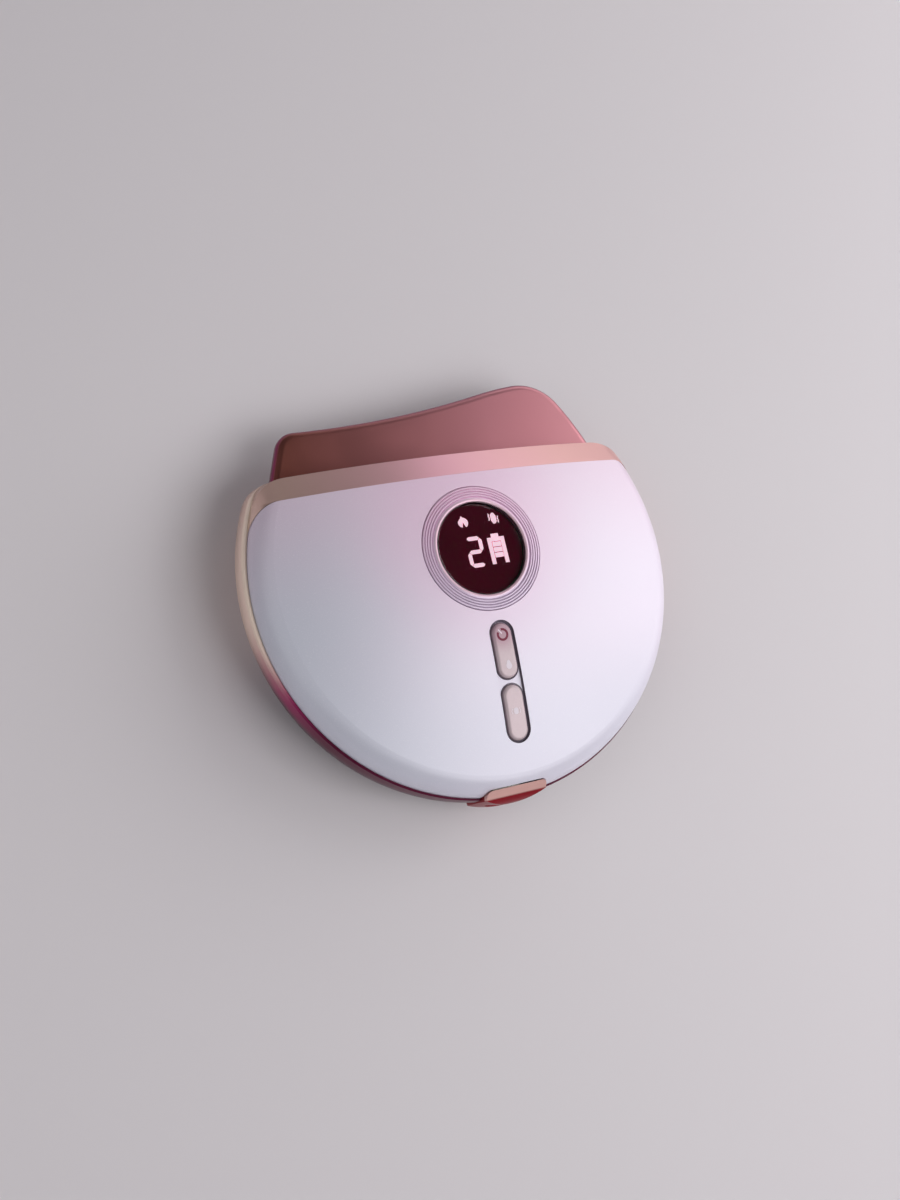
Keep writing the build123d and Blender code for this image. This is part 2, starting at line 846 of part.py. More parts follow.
def make_plate_gasket():
    outer = block(
        -neck_half - gasket_wall,
        neck_half + gasket_wall,
        body_chord - gasket_depth,
        body_chord,
        neck_bottom - gasket_wall,
        neck_top + gasket_wall,
    )
    return outer - block(-neck_half, neck_half, 0, body_chord + 1, neck_bottom, neck_top)


def make_plate_clamp():
    low, high = neck_top, neck_top + clamp_height
    bar = block(
        -clamp_half, clamp_half, plate_screw_y - clamp_depth / 2, plate_screw_y + clamp_depth / 2, low, high
    )
    bar = fillet(bar.edges().filter_by(Axis.Z), clamp_corner)
    for x in plate_screw_x:
        bar -= board_hole(x, plate_screw_y)
    return bar


def make_heater_film():
    return block(
        -heater_half,
        heater_half,
        plate_screw_y - heater_depth / 2,
        plate_screw_y + heater_depth / 2,
        neck_bottom - heater_thickness,
        neck_bottom,
    )


def make_thermistor():
    top = neck_bottom - heater_thickness
    place = Pos(heater_half - bead_length, plate_screw_y, top - bead_height / 2)
    bead = place * Box(bead_length, bead_depth, bead_height)
    return fillet(bead.edges().filter_by(Axis.Z), bead_corner)


def make_usb_c_shell():
    front = port_face + inlet_recess
    back = front + inlet_length
    return inlet_bar(0, front, back) - inlet_bar(-inlet_shell, front - 1, back - inlet_back)


def make_usb_c_tongue():
    back = port_face + inlet_recess + inlet_length - inlet_back
    return block(
        port_x - tongue_plate_width / 2,
        port_x + tongue_plate_width / 2,
        back - tongue_plate_length,
        back,
        inlet_z - tongue_plate_height / 2,
        inlet_z + tongue_plate_height / 2,
    )


def make_battery():
    size = (battery_width, battery_depth, battery_height)
    pouch = Pos(0, battery_centre_y, battery_floor + battery_height / 2) * Box(*size)
    return fillet(pouch.edges().filter_by(Axis.X), battery_corner)


def make_battery_pad():
    return block(
        -battery_width / 2 + pouch_inset,
        battery_width / 2 - pouch_inset,
        battery_centre_y - battery_depth / 2 + pouch_inset,
        battery_centre_y + battery_depth / 2 - pouch_inset,
        body_wall,
        battery_floor,
    )


def turned_x(radius, start, end):
    middle = (start + end) / 2
    return Pos(middle, motor_y, motor_z) * (Rot(0, 90, 0) * Cylinder(radius, end - start))


def make_motor_can():
    end = motor_start_x + motor_length
    can = turned_x(motor_radius, motor_start_x, end)
    return can - turned_x(shaft_radius + shaft_fit, motor_start_x - 1, end + 1)


def make_motor_end_cap():
    return turned_x(motor_radius - cap_step, motor_start_x - cap_length, motor_start_x)


def make_motor_shaft():
    start = motor_start_x + shaft_fit
    return turned_x(shaft_radius, start, motor_start_x + motor_length + shaft_reach)


def make_eccentric_weight():
    """Half-round weight with a hub, pressed on the shaft and hanging down at rest."""
    start = motor_start_x + motor_length + weight_gap
    end = start + weight_length
    half = turned_x(weight_radius, start, end)
    reach = 2 * weight_radius
    half -= block(start - 1, end + 1, motor_y - reach, motor_y + reach, motor_z, motor_z + reach)
    weight = half + turned_x(weight_hub, start, end)
    return weight - turned_x(shaft_radius, start - 1, end + 1)


def make_motor_sleeve():
    middle = motor_start_x + motor_length / 2
    start, end = middle - sleeve_length / 2, middle + sleeve_length / 2
    return turned_x(motor_radius + sleeve_wall, start, end) - turned_x(motor_radius, start - 1, end + 1)


def wire(points, radii):
    path = FilletPolyline(*points, radius=radii)
    start = points[0]
    way = Vector(*points[1]) - Vector(*start)
    return sweep(Plane(origin=start, z_dir=way) * Circle(wire_radius), path=path).solid()


def wire_pair(points, radius, shift):
    pieces = []
    for side in (0, 1):
        moved = [tuple(value + step * side for value, step in zip(point, shift)) for point in points]
        pieces.append(wire(moved, radius))
    return Compound(children=pieces)


def socket_mouth_z():
    return board_bottom - socket_height / 2


def make_battery_leads():
    """Two wires from the pouch's end, up and into the front of their socket."""
    x = sum(battery_socket_x) / 2 - wire_pitch / 2
    edge = battery_centre_y + battery_depth / 2
    z = battery_floor + battery_height / 2
    turn = edge + battery_wire_out
    points = [(x, edge, z), (x, turn, z), (x, turn, socket_mouth_z()), (x, socket_y[0], socket_mouth_z())]
    return wire_pair(points, battery_wire_bend, (wire_pitch, 0, 0))


def make_heater_leads():
    """Two wires from the heater film back to the rear of their socket."""
    x = sum(heater_socket_x) / 2 - wire_pitch / 2
    z = neck_bottom - heater_thickness - wire_radius
    turn = socket_y[1] + heater_wire_out
    start = turn + heater_wire_rise
    mouth = socket_mouth_z()
    points = [(x, plate_screw_y, z), (x, start, z), (x, turn, mouth), (x, socket_y[1], mouth)]
    return wire_pair(points, heater_wire_bend, (wire_pitch, 0, 0))


def make_motor_leads():
    """Two wires from the motor's end cap, bent up to the board."""
    start = motor_start_x - cap_length
    x = start - motor_wire_out
    y = motor_y + motor_wire_rise
    points = [(start, y, motor_z), (x, y, motor_z), (x, y, board_bottom)]
    return wire_pair(points, motor_wire_bend, (0, -wire_pitch, 0))


PARTS = {
    "top_cover": make_top_cover,
    "lower_housing": make_lower_housing,
    "port_trim": make_port_trim,
    "display_bezel": make_display_bezel,
    "display_window": make_display_window,
    "display_segments": make_display_segments,
    "display_module": make_display_module,
    "power_heat_button": lambda: make_button(upper_button_y),
    "vibration_button": lambda: make_button(lower_button_y),
    "power_switch": lambda: make_switch(upper_button_y),
    "vibration_switch": lambda: make_switch(lower_button_y),
    "power_switch_plunger": lambda: make_plunger(upper_button_y),
    "vibration_switch_plunger": lambda: make_plunger(lower_button_y),
    "main_pcb": make_main_pcb,
    "board_components": make_board_components,
    "pcb_screws": make_pcb_screws,
    "usb_c_shell": make_usb_c_shell,
    "usb_c_tongue": make_usb_c_tongue,
    "battery": make_battery,
    "battery_pad": make_battery_pad,
    "battery_leads": make_battery_leads,
    "motor_can": make_motor_can,
    "motor_end_cap": make_motor_end_cap,
    "motor_shaft": make_motor_shaft,
    "eccentric_weight": make_eccentric_weight,
    "motor_sleeve": make_motor_sleeve,
    "motor_leads": make_motor_leads,
    "scraper_plate": make_scraper_plate,
    "plate_gasket": make_plate_gasket,
    "plate_clamp": make_plate_clamp,
    "plate_screws": make_plate_screws,
    "heater_film": make_heater_film,
    "thermistor": make_thermistor,
    "heater_leads": make_heater_leads,
}

os.makedirs("parts", exist_ok=True)
for name, make in PARTS.items():
    export_step(make(), f"parts/{name}.step")
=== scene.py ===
"""A heated gua sha on a pale floor: pearl cover, plated body, scraper plate, display, pills."""
import math

import bmesh
import bpy
import numpy as np
from mathutils import Matrix, Vector


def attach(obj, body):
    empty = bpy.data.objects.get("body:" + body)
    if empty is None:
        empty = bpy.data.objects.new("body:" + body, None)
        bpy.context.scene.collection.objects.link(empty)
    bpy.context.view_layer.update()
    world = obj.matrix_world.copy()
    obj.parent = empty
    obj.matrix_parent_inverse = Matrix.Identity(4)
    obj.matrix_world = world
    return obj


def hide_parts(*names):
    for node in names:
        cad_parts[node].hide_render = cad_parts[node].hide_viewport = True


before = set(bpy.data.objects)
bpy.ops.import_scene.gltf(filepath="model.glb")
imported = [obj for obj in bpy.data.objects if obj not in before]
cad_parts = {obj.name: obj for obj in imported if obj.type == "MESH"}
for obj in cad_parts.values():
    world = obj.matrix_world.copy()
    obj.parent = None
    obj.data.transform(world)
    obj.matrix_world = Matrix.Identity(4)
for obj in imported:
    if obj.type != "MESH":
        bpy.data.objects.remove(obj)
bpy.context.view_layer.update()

scene = bpy.context.scene
scene.view_settings.view_transform = "Standard"


# Camera
# A hand-held view from above and a little to the left of the gua sha. The turns, in radians, and
# the offsets, in metres, were solved from the outlines of the cover, the display and the pills.
turn_x, turn_y, turn_z = -0.140, 0.438, 0.229
offset_x, offset_y, distance = 0.00218, -0.003016, 0.283409
focal_pixels, long_side_pixels, sensor_width = 1343.839, 1200, 36

to_camera = (
    Matrix.Rotation(turn_z, 3, "Z") @ Matrix.Rotation(turn_x, 3, "X")
    @ Matrix.Rotation(turn_y, 3, "Y")
)
camera_data = bpy.data.cameras.new("camera")
camera_data.sensor_width = sensor_width
camera_data.lens = focal_pixels * sensor_width / long_side_pixels
camera = bpy.data.objects.new("camera", camera_data)
camera_place = to_camera.transposed() @ Vector((offset_x, offset_y, distance))
camera.matrix_world = Matrix.Translation(camera_place) @ to_camera.transposed().to_4x4()
scene.collection.objects.link(camera)
scene.camera = camera


# Room
# A pale sheet in a room with pale walls and a dark ceiling, which the flat metal mirrors. Windows
# light the gua sha from the right, and weaker fills from the front, the left and the strip's side.
def linear(hex_colour):
    """sRGB hex to linear RGBA: c/12.92 below 0.04045, else ((c + 0.055)/1.055) to the power 2.4."""
    parts = [int(hex_colour[i:i + 2], 16) / 255 for i in (1, 3, 5)]
    return tuple(
        c / 12.92 if c <= 0.04045 else ((c + 0.055) / 1.055) ** 2.4 for c in parts
    ) + (1.0,)


def wire(tree, node, sockets):
    """Gives each named socket its value, or links it where the value is another node's output."""
    for name, value in sockets.items():
        if isinstance(value, bpy.types.NodeSocket):
            tree.links.new(value, node.inputs[name])
        else:
            node.inputs[name].default_value = value


def add_node(tree, kind, sockets=None, output=0, **settings):
    """Adds a node with its settings and sockets, and gives back one of its outputs."""
    node = tree.nodes.new(kind)
    for name, value in settings.items():
        setattr(node, name, value)
    wire(tree, node, sockets or {})
    return node.outputs[output]


def new_finish(name):
    """A material with only its shader and output, ready for a finish."""
    material = bpy.data.materials.new(name)
    material.use_nodes = True
    return material.node_tree, material.node_tree.nodes["Principled BSDF"]


horizon_glow, ceiling_glow, room_colour = 0.75, 0.07, linear("#ECEAF0")
wall_top, ceiling_edge = 0.06, 0.32
haze_start, haze_end, floor_half = 0.25, 0.75, 6

# Painted paper: matt and pale, lost in the room's own tone from 0.25 to 0.75 m away.
tree, shader = new_finish("painted_paper_sheet")
spot = add_node(tree, "ShaderNodeTexCoord", output="Object")
far = add_node(tree, "ShaderNodeVectorMath", {0: spot}, output="Value", operation="LENGTH")
into_room = add_node(
    tree, "ShaderNodeMapRange", {"Value": far, "From Min": haze_start, "From Max": haze_end},
    interpolation_type="SMOOTHSTEP",
)
wire(tree, shader, {
    "Base Color": linear("#E4DEE2"), "Roughness": 0.75, "Specular IOR Level": 0.2,
})
distance_haze = add_node(
    tree, "ShaderNodeEmission", {"Color": room_colour, "Strength": horizon_glow}
)
sheet = add_node(
    tree, "ShaderNodeMixShader", {0: into_room, 1: shader.outputs["BSDF"], 2: distance_haze}
)
wire(tree, tree.nodes["Material Output"], {"Surface": sheet})
floor_mesh = bpy.data.meshes.new("floor")
floor_mesh.from_pydata([
    (-floor_half, -floor_half, 0), (floor_half, -floor_half, 0),
    (floor_half, floor_half, 0), (-floor_half, floor_half, 0),
], [], [(0, 1, 2, 3)])
floor_mesh.materials.append(bpy.data.materials["painted_paper_sheet"])
floor = bpy.data.objects.new("floor", floor_mesh)
scene.collection.objects.link(floor)

# The walls are pale up to 3 degrees and fade into the dark ceiling by 19. Z is the sine of these.
world = bpy.data.worlds.new("grey_room")
scene.world = world
world.use_nodes = True
room = world.node_tree
direction = add_node(room, "ShaderNodeTexCoord", output="Generated")
upward = add_node(room, "ShaderNodeSeparateXYZ", {"Vector": direction}, output="Z")
paleness = add_node(
    room, "ShaderNodeMapRange",
    {
        "Value": upward, "From Min": wall_top, "From Max": ceiling_edge,
        "To Min": horizon_glow, "To Max": ceiling_glow,
    },
    interpolation_type="SMOOTHSTEP",
)
wire(room, room.nodes["Background"], {"Color": room_colour, "Strength": paleness})

lamp_distance, lamp_aim = 0.6, Vector((0, 0, 0.01))


def soft_lamp(name, azimuth, elevation, width, height, power):
    """A white rectangular lamp at an azimuth from +X and an elevation in degrees, aimed at the
    gua sha; its sides are in metres and its power in watts."""
    turn, rise = math.radians(azimuth), math.radians(elevation)
    away = Vector((
        math.cos(rise) * math.cos(turn), math.cos(rise) * math.sin(turn), math.sin(rise),
    ))
    where = lamp_distance * away
    data = bpy.data.lights.new(name, "AREA")
    data.shape, data.size, data.size_y, data.energy = "RECTANGLE", width, height, power
    lamp = bpy.data.objects.new(name, data)
    facing = (lamp_aim - where).to_track_quat("-Z", "Y")
    lamp.matrix_world = Matrix.Translation(where) @ facing.to_matrix().to_4x4()
    scene.collection.objects.link(lamp)


for name, azimuth, elevation, width, height, power in (
    ("window", 0, 35, 0.55, 0.50, 1.58),
    ("window_side", 30, 32, 0.45, 0.40, 0.22),
    ("upper_window", -50, 58, 0.40, 0.40, 1.32),
    ("front_fill", -90, 40, 0.55, 0.50, 0.14),
    ("left_fill", 180, 40, 0.55, 0.50, 0.63),
    ("strip_card", 50, 18, 0.40, 0.25, 0.35),
):
    soft_lamp(name, azimuth, elevation, width, height, power)


# Lower housing
# The lower shell with the slanted strip over the plate: injection-moulded ABS, vacuum plated and
# lacquered. The plate, battery and motor are fixed in it, and the cover's hooks snap into it.
def dress(finish, *nodes):
    """Gives CAD nodes their finish, in their material slots only."""
    for node in nodes:
        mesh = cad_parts[node].data
        mesh.materials.clear()
        mesh.materials.append(bpy.data.materials[finish])


# Plating under satin lacquer is a soft rose-gold mirror. A painted highlight makes it cream along
# the edge below the cover. A painted reflection and painted shade deepen it through magenta to
# dark maroon towards the charging end and the belly.
tree, shader = new_finish("rose_gold_plated_abs")
spot = add_node(tree, "ShaderNodeTexCoord", output="Object")
across, along, upright = (
    add_node(tree, "ShaderNodeSeparateXYZ", {"Vector": spot}, output=axis) for axis in "XYZ"
)

# Rose, from the far left to the right, with each tone's start and end in mm. The cream on the
# leftmost wall is a painted highlight; the rose is browner and darker to the left as painted shade.
lacquer_and_painted_light = linear("#FFE6D6")
for start, end, hex_colour in ((-46, -40, "#D2B0A4"), (-36, -6, "#E3AAB6"), (-2, 26, "#ECB8B4")):
    share = add_node(
        tree, "ShaderNodeMapRange",
        {"Value": across, "From Min": start / 1000, "From Max": end / 1000},
    )
    lacquer_and_painted_light = add_node(
        tree, "ShaderNodeMix", {0: share, 6: lacquer_and_painted_light, 7: linear(hex_colour)},
        output=2, data_type="RGBA",
    )

# Each change of tone along or up the shell, from its start to its end in mm: the painted magenta
# reflection and painted maroon shade towards the charging end, painted shade low on the belly,
# and the bounds of the cream painted highlight on the upper edge and short of the strip.
fades = {}
for name, axis, start, end in (
    ("magenta_reflection", along, -3, -21),
    ("maroon_shade", along, -16, -30),
    ("belly_shade", upright, 12.5, 8.5),
    ("highlight_edge", upright, 12.7, 13.3),
    ("short_of_strip", along, 24, 18),
):
    fades[name] = add_node(
        tree, "ShaderNodeMapRange",
        {"Value": axis, "From Min": start / 1000, "From Max": end / 1000},
        interpolation_type="SMOOTHSTEP",
    )
# Painted shade: darkest low on the belly where the painted magenta reflection lies.
shaded = add_node(
    tree, "ShaderNodeMath", {0: fades["belly_shade"], 1: fades["magenta_reflection"]}, operation="MULTIPLY"
)
# The painted highlight: cream on the upper edge, short of the strip, away from the magenta.
below_strip = add_node(
    tree, "ShaderNodeMapRange", {"Value": upright, "From Min": 14.3 / 1000, "From Max": 14.1 / 1000}
)
off_magenta_reflection = add_node(
    tree, "ShaderNodeMapRange", {"Value": fades["magenta_reflection"], "To Min": 0.9, "To Max": 0.0}
)
painted_highlight = fades["highlight_edge"]
for share in (below_strip, fades["short_of_strip"], off_magenta_reflection):
    painted_highlight = add_node(tree, "ShaderNodeMath", {0: painted_highlight, 1: share}, operation="MULTIPLY")
for share, hex_colour in (
    (fades["magenta_reflection"], "#B03A70"), (fades["maroon_shade"], "#5C0430"),
    (shaded, "#3A0220"), (painted_highlight, "#FFEAD8"),
):
    lacquer_and_painted_light = add_node(
        tree, "ShaderNodeMix", {0: share, 6: lacquer_and_painted_light, 7: linear(hex_colour)},
        output=2, data_type="RGBA",
    )
# Less metal under the painted highlight and the painted maroon shade, so their colours show.
less_metal = add_node(
    tree, "ShaderNodeMath", {0: painted_highlight, 1: fades["maroon_shade"]}, operation="MAXIMUM"
)
metal_share = add_node(
    tree, "ShaderNodeMapRange", {"Value": less_metal, "To Min": 0.7, "To Max": 0.3}
)
wire(tree, shader, {
    "Base Color": lacquer_and_painted_light, "Metallic": metal_share, "Roughness": 0.31, "Specular IOR Level": 0.3,
})
dress("rose_gold_plated_abs", "lower_housing")


# Battery, its pad and the wires
# A lithium pouch in aluminium-laminate foil, stuck to the shell's floor with black foam tape, and
# silicone-insulated wires from the battery, the heater and the motor to the board.

# Nearly all of a noise's values lie between these two.
noise_low, noise_high = 0.3, 0.7


def mottled(name, grain, dark, light, sockets):
    """A finish in two close tones, mixed by noise with a grain in mm, with its other sockets."""
    tree, shader = new_finish(name)
    spot = add_node(tree, "ShaderNodeTexCoord", output="Object")
    mottle = add_node(tree, "ShaderNodeTexNoise", {"Vector": spot, "Scale": 1000 / grain})
    tone = add_node(
        tree, "ShaderNodeMix", {0: mottle, 6: linear(dark), 7: linear(light)},
        output=2, data_type="RGBA",
    )
    wire(tree, shader, {"Base Color": tone, **sockets})


# Laminate foil: silvery, creased every 5 or 6 mm where it is folded, with a patchy sheen.
tree, shader = new_finish("aluminium_laminate_foil")
spot = add_node(tree, "ShaderNodeTexCoord", output="Object")
crease = add_node(
    tree, "ShaderNodeTexVoronoi", {"Vector": spot, "Scale": 1000 / 5.5}, feature="DISTANCE_TO_EDGE"
)
haze = add_node(tree, "ShaderNodeTexNoise", {"Vector": spot, "Scale": 1000 / 3})
dull = add_node(
    tree, "ShaderNodeMapRange",
    {"Value": haze, "From Min": noise_low, "From Max": noise_high, "To Min": 0.25, "To Max": 0.42},
)
foil_bump = add_node(tree, "ShaderNodeBump", {"Height": crease, "Distance": 0.05 / 1000})
wire(tree, shader, {
    "Base Color": linear("#C4C6CA"), "Metallic": 0.9, "Roughness": dull, "Normal": foil_bump,
})
dress("aluminium_laminate_foil", "battery")

# Closed-cell foam: black and matt, with cells 0.4 mm across.
tree, shader = new_finish("closed_cell_foam_tape")
spot = add_node(tree, "ShaderNodeTexCoord", output="Object")
cells = add_node(tree, "ShaderNodeTexVoronoi", {"Vector": spot, "Scale": 1000 / 0.4})
shade = add_node(
    tree, "ShaderNodeMix", {0: cells, 6: linear("#1B1B1E"), 7: linear("#34343A")},
    output=2, data_type="RGBA",
)
pores = add_node(tree, "ShaderNodeBump", {"Height": cells, "Distance": 0.1 / 1000})
wire(tree, shader, {"Base Color": shade, "Roughness": 0.95, "Normal": pores})
dress("closed_cell_foam_tape", "battery_pad")

# Silicone insulation: a plain red that stays matt.
mottled("silicone_wire_red", 1.5, "#A3161A", "#BE2A2C", {"Roughness": 0.5})
dress("silicone_wire_red", "battery_leads", "heater_leads", "motor_leads")


# Vibration motor and the other small hardware
# A cylindrical motor with a half-round weight, in a silicone sleeve on its saddle. Its finishes
# also serve the screws, switches, plungers, chips, clamp and gasket, and the charging inlet.

# Nickel plate on drawn steel: bright, with fine lines 0.25 mm apart along the can.
tree, shader = new_finish("nickel_plated_steel")
spot = add_node(tree, "ShaderNodeTexCoord", output="Object")
drawn = add_node(tree, "ShaderNodeMapping", {"Vector": spot, "Scale": (0.08, 1, 1)})
lines = add_node(tree, "ShaderNodeTexNoise", {"Vector": drawn, "Scale": 1000 / 0.25})
dull = add_node(
    tree, "ShaderNodeMapRange",
    {"Value": lines, "From Min": noise_low, "From Max": noise_high, "To Min": 0.22, "To Max": 0.38},
)
wire(tree, shader, {"Base Color": linear("#C6C3BC"), "Metallic": 1.0, "Roughness": dull})
dress(
    "nickel_plated_steel", "motor_can", "motor_shaft", "pcb_screws", "plate_screws", "usb_c_shell"
)

# Sintered tungsten alloy: a dull, warm grey metal with 0.3 mm grains.
mottled(
    "sintered_tungsten_alloy", 0.3, "#8E8674", "#B2A88F", {"Metallic": 1.0, "Roughness": 0.5}
)
dress("sintered_tungsten_alloy", "eccentric_weight")

# Moulded PBT: satin black with a fine spark-eroded texture.
tree, shader = new_finish("moulded_pbt_black")
spot = add_node(tree, "ShaderNodeTexCoord", output="Object")
spark = add_node(
    tree, "ShaderNodeTexNoise", {"Vector": spot, "Scale": 1000 / 0.25, "Detail": 3.0}
)
black = add_node(
    tree, "ShaderNodeMix", {0: spark, 6: linear("#141416"), 7: linear("#24242A")},
    output=2, data_type="RGBA",
)
texture = add_node(tree, "ShaderNodeBump", {"Height": spark, "Distance": 0.01 / 1000})
wire(tree, shader, {"Base Color": black, "Roughness": 0.55, "Normal": texture})
dress(
    "moulded_pbt_black", "motor_end_cap", "power_switch", "vibration_switch",
    "power_switch_plunger", "vibration_switch_plunger", "usb_c_tongue", "plate_clamp",
    "thermistor", "board_components",
)

# Silicone rubber: a matt warm grey.
mottled("silicone_rubber_grey", 2, "#4A4346", "#5A5256", {"Roughness": 0.6})
dress("silicone_rubber_grey", "motor_sleeve", "plate_gasket")


# Main board
# A glass-epoxy board, screwed to four posts under the cover. It carries the switches, the chips
# and the light guide, and its copper tracks stand a hair proud below the green solder mask.

# Solder mask: glossy green, lighter on the tracks, which run 1.3 mm apart with links every 3.5 mm.
tree, shader = new_finish("fr4_green_solder_mask")
spot = add_node(tree, "ShaderNodeTexCoord", output="Object")
tracks = add_node(
    tree, "ShaderNodeTexBrick",
    {"Vector": spot, "Scale": 260.0, "Mortar Size": 0.06, "Brick Width": 0.9, "Row Height": 0.35},
    output="Fac",
)
green = add_node(
    tree, "ShaderNodeMix", {0: tracks, 6: linear("#0C4A26"), 7: linear("#1A6E3A")},
    output=2, data_type="RGBA",
)
track_relief = add_node(tree, "ShaderNodeBump", {"Height": tracks, "Distance": 0.03 / 1000})
wire(tree, shader, {"Base Color": green, "Roughness": 0.35, "Normal": track_relief})
dress("fr4_green_solder_mask", "main_pcb")


# Scraper plate and its heater
# A blade of aluminium, polished, plated rose and lacquered. Its neck is screwed down under a clamp
# inside the housing, with a polyimide heater film bonded below it.
plate_top, edge_start, edge_end = 12.4, 0.15, 0.8
shaded_left_x, lit_right_x = -32, 14

# Rose plating: a satin mirror, browner and darker to the left as painted shade. The rounded
# edge below the flat top is darker and redder.
tree, shader = new_finish("rose_plated_aluminium")
spot = add_node(tree, "ShaderNodeTexCoord", output="Object")
across, height = (
    add_node(tree, "ShaderNodeSeparateXYZ", {"Vector": spot}, output=axis) for axis in "XZ"
)
edge = add_node(
    tree, "ShaderNodeMapRange",
    {
        "Value": height, "From Min": (plate_top - edge_start) / 1000,
        "From Max": (plate_top - edge_end) / 1000,
    },
    interpolation_type="SMOOTHSTEP",
)
# Painted shade: browner and darker to the left.
shade_across = add_node(
    tree, "ShaderNodeMapRange",
    {"Value": across, "From Min": shaded_left_x / 1000, "From Max": lit_right_x / 1000},
)
flat_tone = add_node(
    tree, "ShaderNodeMix", {0: shade_across, 6: linear("#96584E"), 7: linear("#C4818A")},
    output=2, data_type="RGBA",
)
tone = add_node(
    tree, "ShaderNodeMix", {0: edge, 6: flat_tone, 7: linear("#7C1A4A")},
    output=2, data_type="RGBA",
)
wipe = add_node(tree, "ShaderNodeTexNoise", {"Vector": spot, "Scale": 1000 / 8})
dull = add_node(
    tree, "ShaderNodeMapRange",
    {"Value": wipe, "From Min": noise_low, "From Max": noise_high, "To Min": 0.31, "To Max": 0.36},
)
wire(tree, shader, {
    "Base Color": tone, "Metallic": 0.85, "Roughness": dull,
    "Coat Weight": 0.3, "Coat Roughness": 0.1,
})
dress("rose_plated_aluminium", "scraper_plate")

# Polyimide film: smooth, glossy amber.
mottled("polyimide_film_amber", 4, "#B4700E", "#CC8A22", {"Roughness": 0.25})
dress("polyimide_film_amber", "heater_film")


# Top cover
# The domed shell with one flat side, moulded in ABS and sprayed with pearl lacquer. It has the
# display's bore, the pills' slot and the tab's gap, and the board's posts and four hooks below.
cover_apex, crown_radius, cover_centre_y = 23.65, 180.66, -0.6

# The middle of the pink bloom round the display, in metres.
bloom_centre = (-0.001, 0.006, 0.0236)


def crown(x, y):
    """Height of the crown in mm: apex - R + sqrt(R^2 - x^2 - (y - centre)^2)."""
    return cover_apex - crown_radius + np.sqrt(crown_radius**2 - x**2 - (y - cover_centre_y) ** 2)


# Pearl lacquer: lilac white with a soft sheen under its clear coat. It is darker to the left as
# painted shade, leans grey-blue there and towards the charging end, and pink towards the strip
# and round the display.
tree, shader = new_finish("pearl_lacquered_abs")
spot = add_node(tree, "ShaderNodeTexCoord", output="Object")
across, along = (
    add_node(tree, "ShaderNodeSeparateXYZ", {"Vector": spot}, output=axis) for axis in "XY"
)
from_ring = add_node(
    tree, "ShaderNodeVectorMath", {0: spot, 1: bloom_centre}, output="Value", operation="DISTANCE"
)
pearl_and_shade = linear("#D3D5E2")
for reach, start, end, most, hex_colour in (
    (across, -46, 2, 1.0, "#F6EBFB"),
    (along, -10, 26, 0.55, "#EFC9DF"),
    (along, -12, -36, 0.5, "#D2D6E4"),
    (from_ring, 30, 10, 0.32, "#FFC6E8"),
):
    share = add_node(
        tree, "ShaderNodeMapRange",
        {"Value": reach, "From Min": start / 1000, "From Max": end / 1000, "To Max": most},
        interpolation_type="SMOOTHSTEP",
    )
    pearl_and_shade = add_node(
        tree, "ShaderNodeMix", {0: share, 6: pearl_and_shade, 7: linear(hex_colour)},
        output=2, data_type="RGBA",
    )

# Mica is 0.02 mm across; it is drawn ten times coarser so that it shows as a faint sparkle.
mica = add_node(tree, "ShaderNodeTexNoise", {"Vector": spot, "Scale": 1000 / 0.2})
glint = add_node(
    tree, "ShaderNodeMapRange", {"Value": mica, "From Min": 0.58, "From Max": 0.78, "To Max": 0.35}
)
sparkling = add_node(
    tree, "ShaderNodeMix", {0: glint, 6: pearl_and_shade, 7: linear("#FBF6FD")}, output=2, data_type="RGBA"
)
flop = add_node(tree, "ShaderNodeBump", {"Height": mica, "Distance": 0.0008 / 1000})
wire(tree, shader, {
    "Base Color": sparkling, "Metallic": 0.1, "Roughness": 0.42, "Normal": flop,
    "Coat Weight": 0.35, "Coat Roughness": 0.28,
})
dress("pearl_lacquered_abs", "top_cover")


# Display light guide
# A moulded polycarbonate block that stands on the board below the lens, with a well under each
# light shape. Its matt dark maroon keeps the light of one well out of the next.
mottled(
    "light_guide_maroon_pc", 4, "#44001A", "#4C001E", {"Roughness": 0.6, "Specular IOR Level": 0.2}
)
dress("light_guide_maroon_pc", "display_module")


# Display lens
# A stepped disc of clear acrylic, cast and polished, with a small chamfer. It sits in the ring's
# bore, level with the dome, with its flange bonded below the ring's lip.
def piece_from(name, points, faces, finish, body):
    """A piece from points in mm and faces, with doubles merged and its finish and body set."""
    mesh = bpy.data.meshes.new(name)
    mesh.from_pydata(points / 1000, [], faces)
    joined = bmesh.new()
    joined.from_mesh(mesh)
    bmesh.ops.remove_doubles(joined, verts=joined.verts, dist=1e-7)
    joined.to_mesh(mesh)
    joined.free()
    mesh.shade_smooth()
    mesh.set_sharp_from_angle(angle=math.radians(40))
    mesh.materials.append(bpy.data.materials[finish])
    piece = bpy.data.objects.new(name, mesh)
    scene.collection.objects.link(piece)
    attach(piece, body)
    return piece


def skin(name, grid, finish, body, wrap=True):
    """A mesh over a grid of points in mm: cell (i, j) joins (i, j), (i+1, j), (i+1, j+1), (i, j+1).

    With wrap the last column joins the first. Points that fall together are merged.
    """
    rows, columns = grid.shape[:2]
    index = np.arange(rows * columns).reshape(rows, columns)
    if wrap:
        index = np.column_stack([index, index[:, 0]])
    cells = np.stack([index[:-1, :-1], index[1:, :-1], index[1:, 1:], index[:-1, 1:]], axis=-1)
    return piece_from(name, grid.reshape(-1, 3), cells.reshape(-1, 4).tolist(), finish, body)


display_y = 2.2


